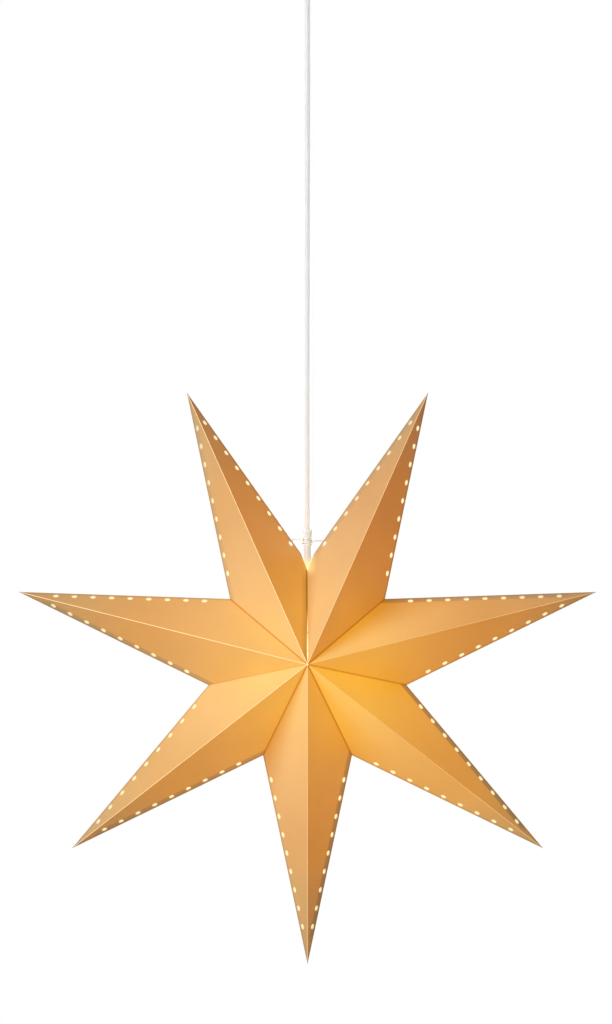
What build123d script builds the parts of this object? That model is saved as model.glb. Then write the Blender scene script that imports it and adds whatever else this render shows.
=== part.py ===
from build123d import *
import os
from math import acos, atan2, cos, degrees, hypot, pi, radians, sin

# Seven-pointed star lamp of folded card, hung on its cord from a ceiling cup.
# Millimetres. Z is up, the origin is on the ceiling, and the star's front faces -Y.

# Star of folded card, its open seam straight up
point_count = 7
tip_radius = 315.0
notch_radius = 107.0
half_depth = 105.0
seam_pitch = 48.0            # degrees between the two points beside the open seam
card = 0.5                   # thickness of the card
seam_slit = 2.0              # the seam's gap
neck_cut_edge = 11.0         # opening for the neck, measured from the notch along the star's edge
neck_cut_valley = 13.0       # and along the valley
star_drop = 795.0            # ceiling to the star's centre

# Perforations along the star's edges, counted on its front
hole_d = 5.5
hole_pitch = 19.6
holes_per_edge = 9
hole_inset = 6.0             # from the edge to the row of holes
hole_end = 26.5              # from the notch to the nearest hole

# Glue strips of the folded sheets
tab_width = 10.0
tab_start = 34.0             # from the tip
tab_end = 30.0               # from the notch
flap_width = 12.0
flap_inner = 20.0            # radius where the flap starts
flap_outer = 90.0            # radius where it ends
flap_taper = 8.0

# Cord and its cores
cord_d = 6.0
core_d = 2.2
core_spread = 2.6            # between the centres of the two cores
bore_play = 0.1              # radial room of the cord in its bores

# Lamp holder, from the neck's rim down
neck_rise = 34.5             # rim above the star's notch
neck_rim_d = 12.0
rim_lip = 1.8                # straight lip at the rim
rim_step = 0.5
mouth_d = 9.2                # inside of the rim
mouth_depth = 5.0
flare_height = 7.3           # from the rim down to the waist
waist_d = 9.6
waist_height = 8.0           # down to the small ledge that the wire clip sits on
ledge_d = 11.0
ledge_height = 1.0
stem_d = 8.8
stem_length = 29.2           # from the ledge down to the shoulder
shoulder_height = 13.0
holder_d = 28.0
holder_wall = 1.6
cap_skirt = 14.0
roof_t = 9.0                 # from the shoulder's top down to the ceiling of the cap's inside
flare_round = 10.0
shoulder_round = 4.0
edge_round = 0.5             # moulded edges
grip_d = 15.0
grip_height = 8.0
spigot_length = 10.0
spigot_play = 0.1
spigot_wall = 1.1
insert_height = 10.0
insert_play = 0.15
seat_height = 3.0            # ring under the insert
seat_width = 2.2
mouth_reach = 24.0           # from the insert down to the holder's mouth
cord_entry = 4.0             # hanging cord's end below the neck's rim
cord_tail = 3.0              # cord below its grip
wiring_room = 8.2            # from the cord's end to the terminal plates
lead_knee = 2.5              # straight ends of a lead, at the cord and at the plate
lead_foot = 2.9
lead_bend = 1.6

# Electrical pieces of the holder
terminal_spread = 13.0
plate_size = 6.0
plate_length = 9.0
plate_t = 0.8
terminal_screw_d = 3.0
terminal_head_d = 5.0
terminal_head_height = 1.8
terminal_screw_depth = 6.0
terminal_screw_y = 2.0       # screw and lead share the plate
terminal_lead_y = -2.6
screw_play = 0.05
driver_slot = 0.8            # slot in a small screw head
driver_depth = 0.9
shell_wall = 0.4
shell_length = 22.0
shell_lip = 3.0              # flat ring at the shell's top
contact_head_d = 5.0
contact_head_height = 0.8
contact_shank_d = 3.0
contact_button_height = 1.0
contact_gap = 0.1            # between the spring contact and the bulb

# Bulb with a 14 mm screw cap
bulb_length = 78.0
globe_d = 45.0
globe_wall = 1.0
globe_cut = 10.7             # height of the globe's open end above its centre
thread_d = 13.9
thread_root_d = 12.4
thread_pitch = 2.822
thread_turns = 6
thread_play = 0.25
tip_d = 5.0
tip_flat_d = 3.4
tip_height = 1.2
insulator_d = 10.0
insulator_height = 2.8
cap_rim = 3.0                # plain rim below the thread
collar_d = 17.0
collar_wall = 1.2
led_board_t = 1.2
led_count = 8
led_size = 2.8
led_height = 0.7
led_ring_d = 22.0

# Wire clip on the neck
wire_d = 1.2
clip_play = 0.1              # wire to the neck, on the radius
clip_step = 1.75             # between two turns of wire
clip_bend = 1.6              # bend radius of the arm
clip_turn = 270.0            # degrees that an arm goes round the neck
hook_before = 8.0            # degrees of hook before and after its hole
hook_after = 9.0

# Ceiling cup and strap
cup_d = 92.0
cup_wall = 1.5
cup_straight = 24.0
cup_height = 55.0
cup_bottom_d = 28.0
cup_corner = 14.0
strap_length = 84.0
strap_width = 22.0
strap_t = 2.0
slot_spacing = 60.0
slot_length = 12.0
slot_width = 4.5
ear_drop = 16.0
cup_screw_d = 3.0
cup_screw_length = 10.0
cup_screw_head_d = 5.5
cup_screw_head = 2.0
cup_screw_round = 1.0
cup_screw_z = 9.0            # below the ceiling
cup_hole_play = 0.2

# Bell-mouthed cord gland
gland_stem_d = 10.0
gland_stem = 15.0            # thread inside the cup
gland_play = 0.1
flange_d = 18.0
flange_t = 3.0
bell_neck_d = 13.0
bell_d = 24.0
bell_length = 22.0
bell_wall = 1.5
bell_throat = 8.5            # plain bore below the flange
bell_round = 14.0
nut_flats = 14.0
nut_t = 3.0
grip_screw_d = 3.0
grip_screw_length = 4.0
grip_screw_up = 9.0          # above the cup's floor
swing_depth = 10.0           # first pivot above the bell's mouth
swing_step = 12.0            # from the first pivot down to the second
cord_gap = 0.3               # between two stretches of cord at a pivot

# Terminal block under the strap
block_x = 14.0
block_length = 16.0
block_width = 20.0
block_height = 14.0
block_round = 1.5
block_way_spread = 10.0
block_way_d = 3.0
block_way_depth = 8.0
block_screw_d = 2.6
block_screw_head_d = 4.0
block_screw_head = 1.2
fixing_screw_d = 3.0
fixing_head_d = 5.0
fixing_head = 1.6
sheath_rise = 6.0            # end of the cord's sheath above the gland
way_knee = 4.5               # straight ends of a lead, at the cord and below the block
way_foot = 3.6
way_bend = 3.6

# Worked out from the sizes above
star_z = -star_drop
centre = Vector(0, 0, star_z)
point_pitch = (360 - seam_pitch) / (point_count - 1)
cord_r = cord_d / 2
bore_r = cord_r + bore_play
holder_r = holder_d / 2
neck_top = notch_radius + neck_rise
waist_top = neck_top - flare_height
ledge_top = waist_top - waist_height
stem_bottom = ledge_top - stem_length
shoulder_bottom = stem_bottom - shoulder_height
roof_height = stem_bottom - roof_t
cap_bottom = shoulder_bottom - cap_skirt
skirt_r = holder_r - holder_wall
spigot_r = skirt_r - spigot_play
insert_r = spigot_r - spigot_wall
grip_bottom = roof_height - grip_height
core_start = grip_bottom - cord_tail
plate_top = core_start - wiring_room
insert_top = plate_top - plate_t
insert_bottom = insert_top - insert_height
holder_mouth = insert_bottom - mouth_reach
shell_r = thread_d / 2 + thread_play
contact_bottom = insert_bottom - contact_button_height
bulb_top = contact_bottom - contact_gap
bulb_bottom = bulb_top - bulb_length
globe_z = bulb_bottom + globe_d / 2
cap_top = bulb_top - tip_height - insulator_height
cap_end = cap_top - thread_turns * thread_pitch - cap_rim
collar_end = globe_z + globe_cut
globe_mouth_r = (globe_d ** 2 / 4 - globe_cut ** 2) ** 0.5
clip_r = waist_d / 2 + clip_play + wire_d / 2
coil_low = ledge_top + clip_play + wire_d / 2
coil_high = coil_low + clip_step
clip_low = coil_high + clip_step
clip_high = clip_low + clip_step
cup_r = cup_d / 2
gland_top = gland_stem - cup_height
sheath_end = gland_top + sheath_rise
bell_mouth = -cup_height - flange_t - bell_length
side_pivot = bell_mouth + swing_depth
front_pivot = side_pivot - swing_step


def up(height):
    """Height above the star's centre, as a Z value."""
    return star_z + height


def outline(*points):
    """Closed outline of (radius, height) or (radius, height, rounding) points, to turn about the cord."""
    with BuildSketch(Plane.XZ) as profile:
        with BuildLine():
            Polyline(*[point[:2] for point in points], close=True)
        make_face()
        for radius, height, rounding in [point for point in points if len(point) == 3]:
            fillet(profile.vertices().sort_by_distance((radius, height))[0], rounding)
    return profile.sketch


# The star

def star_corner(angle, radius):
    """Point in the star's middle plane, its angle clockwise from the top."""
    return centre + Vector(radius * sin(radians(angle)), 0, radius * cos(radians(angle)))


def tip_angle(point):
    """Angle of a point, counted clockwise from the seam."""
    return seam_pitch / 2 + point * point_pitch


def is_seam(point, side):
    """Whether this side of a point lies on the open seam."""
    return (point == 0 and side < 0) or (point == point_count - 1 and side > 0)


def valley_angle(point, side):
    """Angle of the valley on one side of a point: -1 before it, 1 after it."""
    half = seam_pitch / 2 if is_seam(point, side) else point_pitch / 2
    return tip_angle(point) + side * half


def panel_plane(point, side, face):
    """Outer plane of one panel: it starts at the tip and runs along the star's edge."""
    tip = star_corner(tip_angle(point), tip_radius)
    notch = star_corner(valley_angle(point, side), notch_radius)
    apex = centre + Vector(0, face * half_depth, 0)
    normal = (notch - tip).cross(apex - tip)
    if normal.dot(tip - centre) < 0:
        normal = -normal
    return Plane(origin=tip, x_dir=notch - tip, z_dir=normal), tip, notch, apex


def panel_holes(point, side, face):
    """Hole centres of one panel, in its own plane, from the notch to the tip.

    The back row lies between the holes of the front row, so that no line of sight goes through both.
    Beside the seam, a hole for the wire clip's hook comes before the back row.
    """
    plane, tip, notch, apex = panel_plane(point, side, face)
    inset = hole_inset if plane.to_local_coords(apex).Y > 0 else -hole_inset
    nearest = plane.to_local_coords(notch).X - hole_end
    row = [nearest - hole_pitch * n for n in range(holes_per_edge)]
    if face > 0:
        hook = row[:1] if is_seam(point, side) else []
        row = hook + [x - hole_pitch / 2 for x in row[:-1]]
    return [(x, inset) for x in row]


def card_shrink(plane):
    """Scale about the star's centre from a panel's outer face to its inner face."""
    return 1 + card / plane.to_local_coords(centre).Z


def card_panel(point, side, face):
    """One flat panel of a folded sheet, mitred at its folds and perforated along the star's edge."""
    plane, tip, notch, apex = panel_plane(point, side, face)
    corners = [tip, notch, apex]
    if is_seam(point, side):
        edge_cut = notch + (tip - notch).normalized() * neck_cut_edge
        valley_cut = notch + (apex - notch).normalized() * neck_cut_valley
        corners = [tip, edge_cut, valley_cut, apex]
    with BuildPart() as panel:
        for layer, scale in ((plane, 1), (plane.offset(-card), card_shrink(plane))):
            with BuildSketch(layer):
                with BuildLine():
                    local = [layer.to_local_coords(centre + (c - centre) * scale) for c in corners]
                    Polyline(*[(p.X, p.Y) for p in local], close=True)
                make_face()
        loft(ruled=True)
        with BuildSketch(plane):
            with Locations(*panel_holes(point, side, face)):
                Circle(hole_d / 2)
        extrude(amount=2 * card, both=True, mode=Mode.SUBTRACT)
        if is_seam(point, side):
            with Locations(centre):
                Box(seam_slit, 3 * half_depth, 3 * notch_radius, mode=Mode.SUBTRACT)
    return panel.part.solid()


def closing_tab(point):
    """Strip glued behind the front panel, where the folded sheet closes."""
    plane, tip, notch, apex = panel_plane(point, -1, -1)
    inner = plane.offset(-card)
    middle = plane.to_local_coords(centre)
    edge = abs(middle.Y) * (1 - card_shrink(plane))
    inward = 1 if middle.Y > 0 else -1
    length = (notch - tip).length - tab_start - tab_end
    with BuildPart() as tab:
        with BuildSketch(inner):
            with Locations((tab_start + length / 2, inward * (edge + tab_width) / 2)):
                Rectangle(length, tab_width - edge)
        extrude(amount=-card)
        with BuildSketch(plane):
            with Locations(*panel_holes(point, -1, -1)):
                Circle(hole_d / 2)
        extrude(amount=3 * card, both=True, mode=Mode.SUBTRACT)
    return tab.part.solid()


def glue_flap(point, side, face):
    """Flap folded in at a valley and glued to the flap of the next point."""
    shrink = card_shrink(panel_plane(point, side, face)[0])
    angle = valley_angle(point, side)
    out = Vector(sin(radians(angle)), 0, cos(radians(angle)))
    own_side = Vector(-side * cos(radians(angle)), 0, side * sin(radians(angle)))
    plane = Plane(origin=centre, x_dir=out, z_dir=own_side)
    apex = Vector(0, plane.to_local_coords(centre + Vector(0, face * half_depth, 0)).Y) * shrink
    notch = Vector(notch_radius, 0) * shrink
    along = (notch - apex).normalized()
    inward = Vector(-apex.Y, -notch.X) * (1 if apex.Y > 0 else -1)
    inward = inward.normalized() * flap_width
    first = apex + along * (flap_inner / along.X)
    last = apex + along * (flap_outer / along.X)
    corners = [first, last, last + inward - along * flap_taper, first + inward + along * flap_taper]
    with BuildPart() as flap:
        with BuildSketch(plane):
            with BuildLine():
                Polyline(*[(c.X, c.Y) for c in corners], close=True)
            make_face()
        extrude(amount=card)
    return flap.part.solid()


def star_point(point):
    """One point of the star: a folded sheet of four panels with its glue strips."""
    solids = [closing_tab(point)]
    for side in (-1, 1):
        for face in (-1, 1):
            solids.append(card_panel(point, side, face))
            if not is_seam(point, side):
                solids.append(glue_flap(point, side, face))
    return Compound(solids)


# Lamp holder

with BuildPart() as holder_cap:
    revolve(outline(
        (bore_r, up(roof_height)),
        (bore_r, up(neck_top - mouth_depth)),
        (mouth_d / 2, up(neck_top), edge_round),
        (neck_rim_d / 2, up(neck_top), edge_round),
        (neck_rim_d / 2, up(neck_top - rim_lip)),
        (neck_rim_d / 2 - rim_step, up(neck_top - rim_lip)),
        (waist_d / 2, up(waist_top), flare_round),
        (waist_d / 2, up(ledge_top)),
        (ledge_d / 2, up(ledge_top)),
        (ledge_d / 2, up(ledge_top - ledge_height)),
        (stem_d / 2, up(ledge_top - 2 * ledge_height)),
        (stem_d / 2, up(stem_bottom), shoulder_round),
        (holder_r, up(shoulder_bottom), shoulder_round),
        (holder_r, up(cap_bottom), edge_round),
        (skirt_r, up(cap_bottom)),
        (skirt_r, up(shoulder_bottom - holder_wall)),
        (grip_d / 2 + holder_wall, up(roof_height)),
    ), axis=Axis.Z)

with BuildPart() as cord_grip:
    revolve(outline(
        (cord_r + screw_play, up(grip_bottom)),
        (grip_d / 2, up(grip_bottom)),
        (grip_d / 2, up(roof_height)),
        (cord_r + screw_play, up(roof_height)),
    ), axis=Axis.Z)
    chamfer(cord_grip.edges().group_by(Axis.Z)[0].sort_by(SortBy.RADIUS)[-1], holder_wall / 2)

with BuildPart() as holder_cord:
    with BuildSketch(Plane.XY.offset(up(core_start))):
        Circle(cord_r)
    extrude(amount=neck_top - cord_entry - core_start)

with BuildPart() as holder_body:
    revolve(outline(
        (spigot_r, up(cap_bottom + spigot_length)),
        (spigot_r, up(cap_bottom)),
        (holder_r, up(cap_bottom), edge_round),
        (holder_r, up(holder_mouth), edge_round),
        (holder_r - holder_wall, up(holder_mouth)),
        (insert_r + insert_play, up(holder_mouth + holder_wall)),
        (insert_r + insert_play, up(insert_bottom - 2 * seat_height)),
        (insert_r - seat_width, up(insert_bottom - seat_height)),
        (insert_r - seat_width, up(insert_bottom)),
        (insert_r + insert_play, up(insert_bottom)),
        (insert_r + insert_play, up(cap_bottom + spigot_length)),
    ), axis=Axis.Z)

terminal_places = [(side * terminal_spread / 2, terminal_screw_y) for side in (-1, 1)]

with BuildPart() as holder_insert:
    with BuildSketch(Plane.XY.offset(up(insert_bottom))):
        Circle(insert_r)
        Circle(contact_shank_d / 2 + screw_play, mode=Mode.SUBTRACT)
    extrude(amount=insert_height)
    with BuildSketch(Plane.XY.offset(up(insert_top))):
        with Locations(*terminal_places):
            Circle(terminal_screw_d / 2 + screw_play)
    extrude(amount=-terminal_screw_depth - plate_t, mode=Mode.SUBTRACT)

with BuildPart() as terminal_plates:
    with BuildSketch(Plane.XY.offset(up(insert_top))):
        with Locations(*[(x, 0) for x, y in terminal_places]):
            Rectangle(plate_size, plate_length)
        with Locations(*terminal_places):
            Circle(terminal_screw_d / 2 + screw_play, mode=Mode.SUBTRACT)
    extrude(amount=plate_t)

with BuildPart() as terminal_screws:
    with BuildSketch(Plane.XY.offset(up(insert_top + plate_t - terminal_screw_depth))):
        with Locations(*terminal_places):
            Circle(terminal_screw_d / 2)
    extrude(amount=terminal_screw_depth)
    with BuildSketch(Plane.XY.offset(up(insert_top + plate_t))):
        with Locations(*terminal_places):
            Circle(terminal_head_d / 2)
    extrude(amount=terminal_head_height)
    with BuildSketch(Plane.XY.offset(up(insert_top + plate_t + terminal_head_height))):
        with Locations(*terminal_places):
            Rectangle(terminal_head_d, driver_slot)
    extrude(amount=-driver_depth, mode=Mode.SUBTRACT)

with BuildPart() as screw_shell:
    revolve(outline(
        (shell_r, up(insert_bottom - shell_length)),
        (shell_r + shell_wall, up(insert_bottom - shell_length)),
        (shell_r + shell_wall, up(insert_bottom)),
        (shell_r - shell_lip, up(insert_bottom)),
        (shell_r - shell_lip, up(insert_bottom - shell_wall)),
        (shell_r, up(insert_bottom - shell_wall)),
    ), axis=Axis.Z)

with BuildPart() as centre_contact:
    revolve(outline(
        (0, up(contact_bottom)),
        (contact_shank_d / 2, up(contact_bottom)),
        (contact_shank_d / 2, up(insert_top)),
        (contact_head_d / 2, up(insert_top)),
        (contact_head_d / 2, up(insert_top + contact_head_height)),
        (0, up(insert_top + contact_head_height)),
    ), axis=Axis.Z)
    chamfer(centre_contact.edges().group_by(Axis.Z)[0], contact_button_height / 3)


def lead_run(start, knee, foot, end, bend):
    """A core from the cord's end to its terminal, along straight runs and two arcs."""
    with BuildPart() as lead:
        with BuildLine() as route:
            FilletPolyline(start, knee, foot, end, radius=bend)
        with BuildSketch(Plane(origin=route.line @ 0, z_dir=route.line % 0)):
            Circle(core_d / 2)
        sweep()
    return lead.part


def holder_lead(side):
    """Core from the cord's end down to one terminal plate of the holder."""
    x_start = side * core_spread / 2
    x_end = side * terminal_spread / 2
    return lead_run(
        (x_start, 0, up(core_start)),
        (x_start, 0, up(core_start - lead_knee)),
        (x_end, terminal_lead_y, up(plate_top + lead_foot)),
        (x_end, terminal_lead_y, up(plate_top)),
        lead_bend,
    )


# Bulb

def thread_outline():
    """Rolled thread of the bulb's cap: crests and roots from its top to its plain rim."""
    points = []
    for turn in range(thread_turns):
        crest = cap_top - (turn + 0.5) * thread_pitch
        points.append((thread_root_d / 2, up(crest + 0.5 * thread_pitch)))
        points.append((thread_d / 2, up(crest + 0.15 * thread_pitch)))
        points.append((thread_d / 2, up(crest - 0.15 * thread_pitch)))
    points.append((thread_root_d / 2, up(cap_end + cap_rim)))
    points.append((thread_d / 2, up(cap_end)))
    return points


with BuildPart() as bulb_cap:
    revolve(outline(
        *thread_outline(),
        (thread_root_d / 2 - collar_wall, up(cap_end)),
        (thread_root_d / 2 - collar_wall, up(cap_top)),
    ), axis=Axis.Z)

with BuildPart() as bulb_insulator:
    revolve(outline(
        (0, up(cap_top)),
        (thread_root_d / 2, up(cap_top)),
        (insulator_d / 2, up(cap_top + insulator_height)),
        (0, up(cap_top + insulator_height)),
    ), axis=Axis.Z)

with BuildPart() as bulb_tip:
    revolve(outline(
        (0, up(bulb_top - tip_height)),
        (tip_d / 2, up(bulb_top - tip_height)),
        (tip_d / 2, up(bulb_top - tip_height / 2)),
        (tip_flat_d / 2, up(bulb_top)),
        (0, up(bulb_top)),
    ), axis=Axis.Z)

with BuildPart() as bulb_collar:
    with BuildSketch(Plane.XZ):
        with BuildLine():
            lip = Line((collar_d / 2 - collar_wall, up(cap_end)), (collar_d / 2, up(cap_end)))
            flank = Bezier(
                lip @ 1,
                (collar_d / 2, up(cap_end + 0.6 * (collar_end - cap_end))),
                (globe_mouth_r, up(collar_end)),
            )
            brim = Line(flank @ 1, (globe_mouth_r - 2 * collar_wall, up(collar_end)))
            inside = Line(brim @ 1, (collar_d / 2 - collar_wall, up(0.5 * (cap_end + collar_end))))
            Line(inside @ 1, lip @ 0)
        make_face()
    revolve(axis=Axis.Z)
    with BuildSketch(Plane.XY.offset(up(cap_end))):
        Circle(collar_d / 2 - collar_wall)
    extrude(amount=-collar_wall)

with BuildPart() as bulb_globe:
    outer_r = globe_d / 2
    inner_r = outer_r - globe_wall
    inner_mouth_r = (inner_r ** 2 - globe_cut ** 2) ** 0.5
    with BuildSketch(Plane.XZ):
        with BuildLine():
            mouth = (globe_mouth_r, up(collar_end))
            skin = ThreePointArc(mouth, (outer_r, up(globe_z)), (0, up(globe_z - outer_r)))
            foot = Line(skin @ 1, (0, up(globe_z - inner_r)))
            lining = ThreePointArc(foot @ 1, (inner_r, up(globe_z)), (inner_mouth_r, up(collar_end)))
            Line(lining @ 1, skin @ 0)
        make_face()
    revolve(axis=Axis.Z)

with BuildPart() as led_board:
    with BuildSketch(Plane.XY.offset(up(collar_end))):
        Circle(globe_mouth_r - 2 * collar_wall)
    extrude(amount=-led_board_t)

with BuildPart() as leds:
    with BuildSketch(Plane.XY.offset(up(collar_end - led_board_t))):
        with PolarLocations(led_ring_d / 2, led_count):
            Rectangle(led_size, led_size)
    extrude(amount=-led_height)


# Wire clip

def coil_frame(turn):
    """Point and direction of the coil's wire after a share of its one turn."""
    angle = radians(90) - 2 * pi * turn
    height = up(coil_high - clip_step * turn)
    point = Vector(clip_r * cos(angle), clip_r * sin(angle), height)
    direction = Vector(2 * pi * clip_r * sin(angle), -2 * pi * clip_r * cos(angle), -clip_step)
    return point, direction.normalized()


def biarc_middle(start, start_dir, end, end_dir):
    """Meeting point and direction of two arcs that join two points along given directions."""
    chord = end - start
    both = start_dir + end_dir
    slack = 2 * (1 - start_dir.dot(end_dir))
    reach = chord.dot(both)
    arm = (-reach + (reach ** 2 + slack * chord.dot(chord)) ** 0.5) / slack
    first = start + start_dir * arm
    second = end - end_dir * arm
    return (first + second) * 0.5, (second - first).normalized()


coil_quarters = 4
with BuildPart() as clip_coil:
    with BuildLine() as coil_line:
        for quarter in range(coil_quarters):
            start, start_dir = coil_frame(quarter / coil_quarters)
            end, end_dir = coil_frame((quarter + 1) / coil_quarters)
            middle, middle_dir = biarc_middle(start, start_dir, end, end_dir)
            TangentArc(start, middle, tangent=start_dir)
            TangentArc(middle, end, tangent=middle_dir)
    with BuildSketch(Plane(origin=coil_line.line @ 0, z_dir=coil_line.line % 0)):
        Circle(wire_d / 2)
    sweep()

# Least gap of the coil to itself, on points more than half a turn apart
coil_points = [coil_frame(n / 60)[0] for n in range(61)]
coil_gap = min((a - b).length for i, a in enumerate(coil_points) for b in coil_points[i + 31:]) - wire_d
print("coil's least gap to itself, mm:", round(coil_gap, 2))

hook_plane = panel_plane(0, -1, 1)[0]
hook_hole = hook_plane.from_local_coords(Vector(*panel_holes(0, -1, 1)[0]))
hook_r = hypot(hook_hole.X, hook_hole.Y)
hook_angle = degrees(atan2(hook_hole.Y, hook_hole.X))


def round_neck(radius, angle, height, side):
    """Point at an angle about the neck; the left arm mirrors the right one."""
    return Vector(side * radius * cos(radians(angle)), radius * sin(radians(angle)), height)


def clip_arm(side, height):
    """Arm of the wire clip: most of a turn round the neck, a straight run and a hook through a hole."""
    level = up(height)
    hook_start = hook_angle + hook_before
    hook_end = hook_angle - hook_after
    dip = round_neck(hook_r, hook_start, hook_hole.Z, side)
    dip_dir = round_neck(1, hook_start - 90, 0, side)
    low = dip - dip_dir * clip_bend + Vector(0, 0, clip_bend)
    distance = hypot(low.X, low.Y)
    leave = degrees(atan2(low.Y, side * low.X)) + degrees(acos(clip_r / distance))
    exit_point = round_neck(clip_r, leave, level, side)
    run_dir = (Vector(low.X, low.Y, level) - exit_point).normalized()
    high = Vector(low.X, low.Y, level - clip_bend)
    with BuildPart() as arm:
        with BuildLine() as wire:
            ThreePointArc(
                round_neck(clip_r, leave + clip_turn, level, side),
                round_neck(clip_r, leave + clip_turn / 2, level, side),
                exit_point,
            )
            run_end = Vector(low.X, low.Y, level) - run_dir * clip_bend
            Line(exit_point, run_end)
            TangentArc(run_end, high, tangent=run_dir)
            Line(high, low)
            TangentArc(low, dip, tangent=(0, 0, -1))
            ThreePointArc(
                dip,
                round_neck(hook_r, (hook_start + hook_end) / 2, hook_hole.Z, side),
                round_neck(hook_r, hook_end, hook_hole.Z, side),
            )
        with BuildSketch(Plane(origin=wire.line @ 0, z_dir=wire.line % 0)):
            Circle(wire_d / 2)
        sweep()
    return arm.part


# Cord

with BuildPart() as hanging_cord:
    cord_end = up(neck_top - cord_entry)
    with BuildSketch(Plane.XY.offset(cord_end)):
        Circle(cord_r)
    extrude(amount=front_pivot - cord_end)
    with Locations((0, 0, front_pivot)):
        Sphere(cord_r)

with BuildPart() as cord_top:
    flat_end = front_pivot + cord_r + cord_gap
    with BuildSketch(Plane.XY.offset(flat_end)):
        Circle(cord_r)
    extrude(amount=side_pivot - flat_end)
    with Locations((0, 0, side_pivot)):
        Sphere(cord_r)

with BuildPart() as ceiling_cord:
    cord_start = side_pivot + cord_r + cord_gap
    with BuildSketch(Plane.XY.offset(cord_start)):
        Circle(cord_r)
    extrude(amount=sheath_end - cord_start)


# Ceiling cup, strap and gland

strap_end = strap_length / 2
ear_places = [(side * (strap_end - strap_t / 2), 0) for side in (-1, 1)]

with BuildPart() as ceiling_strap:
    with BuildSketch():
        Rectangle(strap_length, strap_width)
        with GridLocations(slot_spacing, 1, 2, 1):
            SlotOverall(slot_length, slot_width, mode=Mode.SUBTRACT)
        with Locations((block_x, 0)):
            Circle(fixing_screw_d / 2 + screw_play, mode=Mode.SUBTRACT)
    extrude(amount=-strap_t)
    with BuildSketch(Plane.XY.offset(-strap_t)):
        with Locations(*ear_places):
            Rectangle(strap_t, strap_width)
    extrude(amount=strap_t - ear_drop)
    with BuildSketch(Plane.YZ):
        with Locations((0, -cup_screw_z)):
            Circle(cup_screw_d / 2 + screw_play)
    extrude(amount=strap_length, both=True, mode=Mode.SUBTRACT)

with BuildPart() as ceiling_cup:
    with BuildSketch(Plane.XZ):
        with BuildLine():
            FilletPolyline(
                (cup_r, 0),
                (cup_r, -cup_straight),
                (cup_bottom_d / 2, -cup_height),
                (gland_stem_d / 2 + gland_play, -cup_height),
                radius=[cup_corner, 2 * cup_wall],
            )
            offset(amount=cup_wall, side=Side.RIGHT)
        make_face()
    revolve(axis=Axis.Z)
    with BuildSketch(Plane.YZ):
        with Locations((0, -cup_screw_z)):
            Circle(cup_screw_d / 2 + cup_hole_play)
    extrude(amount=cup_d, both=True, mode=Mode.SUBTRACT)

with BuildPart() as cup_screws:
    for side in (-1, 1):
        seat = Plane(origin=(side * cup_r, 0, -cup_screw_z), z_dir=(side, 0, 0))
        with BuildSketch(seat):
            Circle(cup_screw_d / 2)
        extrude(amount=-cup_screw_length)
        with BuildSketch(seat):
            Circle(cup_screw_head_d / 2)
        extrude(amount=cup_screw_head)
        rims = cup_screws.edges().filter_by(GeomType.CIRCLE).sort_by(Axis.X)
        fillet(rims[-1 if side > 0 else 0], cup_screw_round)
        with BuildSketch(seat.offset(cup_screw_head)):
            Rectangle(cup_screw_head_d, driver_slot)
            Rectangle(driver_slot, cup_screw_head_d)
        extrude(amount=-driver_depth, mode=Mode.SUBTRACT)

with BuildPart() as cord_gland:
    flange_z = -cup_height - flange_t
    throat_z = flange_z - bell_throat
    revolve(outline(
        (bore_r, gland_top),
        (gland_stem_d / 2, gland_top, edge_round),
        (gland_stem_d / 2, -cup_height),
        (flange_d / 2, -cup_height),
        (flange_d / 2, flange_z, 2 * edge_round),
        (bell_neck_d / 2, flange_z, edge_round),
        (bell_neck_d / 2, throat_z, bell_round),
        (bell_d / 2, bell_mouth, edge_round),
        (bell_d / 2 - bell_wall, bell_mouth, edge_round),
        (bore_r, throat_z),
    ), axis=Axis.Z)
    with BuildSketch(Plane.YZ):
        with Locations((0, cup_wall - cup_height + grip_screw_up)):
            Circle(grip_screw_d / 2 + screw_play)
    extrude(amount=gland_stem_d, mode=Mode.SUBTRACT)

with BuildPart() as gland_nut:
    with BuildSketch(Plane.XY.offset(cup_wall - cup_height)):
        RegularPolygon(nut_flats / 2, 6, major_radius=False)
        Circle(gland_stem_d / 2 + screw_play, mode=Mode.SUBTRACT)
    extrude(amount=nut_t)

with BuildPart() as grip_screw:
    grip_z = cup_wall - cup_height + grip_screw_up
    grip_plane = Plane(origin=(cord_r + screw_play, 0, grip_z), z_dir=(1, 0, 0))
    with BuildSketch(grip_plane):
        Circle(grip_screw_d / 2)
    extrude(amount=grip_screw_length)
    with BuildSketch(grip_plane.offset(grip_screw_length)):
        Rectangle(grip_screw_d, driver_slot)
    extrude(amount=-driver_depth, mode=Mode.SUBTRACT)

# Terminal block

block_bottom = -strap_t - block_height
way_places = [(block_x, side * block_way_spread / 2) for side in (-1, 1)]
way_screw_z = block_bottom + block_way_depth / 2
way_screw_places = [(side * block_way_spread / 2, way_screw_z) for side in (-1, 1)]
block_face = Plane(origin=(block_x + block_length / 2, 0, 0), x_dir=(0, 1, 0), z_dir=(1, 0, 0))

with BuildPart() as terminal_block:
    with BuildSketch(Plane.XY.offset(-strap_t)):
        with Locations((block_x, 0)):
            RectangleRounded(block_length, block_width, block_round)
            Circle(fixing_screw_d / 2 + screw_play, mode=Mode.SUBTRACT)
    extrude(amount=-block_height)
    with BuildSketch(Plane.XY.offset(block_bottom)):
        with Locations(*way_places):
            Circle(block_way_d / 2)
    extrude(amount=block_way_depth, mode=Mode.SUBTRACT)
    with BuildSketch(block_face):
        with Locations(*way_screw_places):
            Circle(block_screw_d / 2 + screw_play)
    extrude(amount=-block_length / 2, mode=Mode.SUBTRACT)

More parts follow.
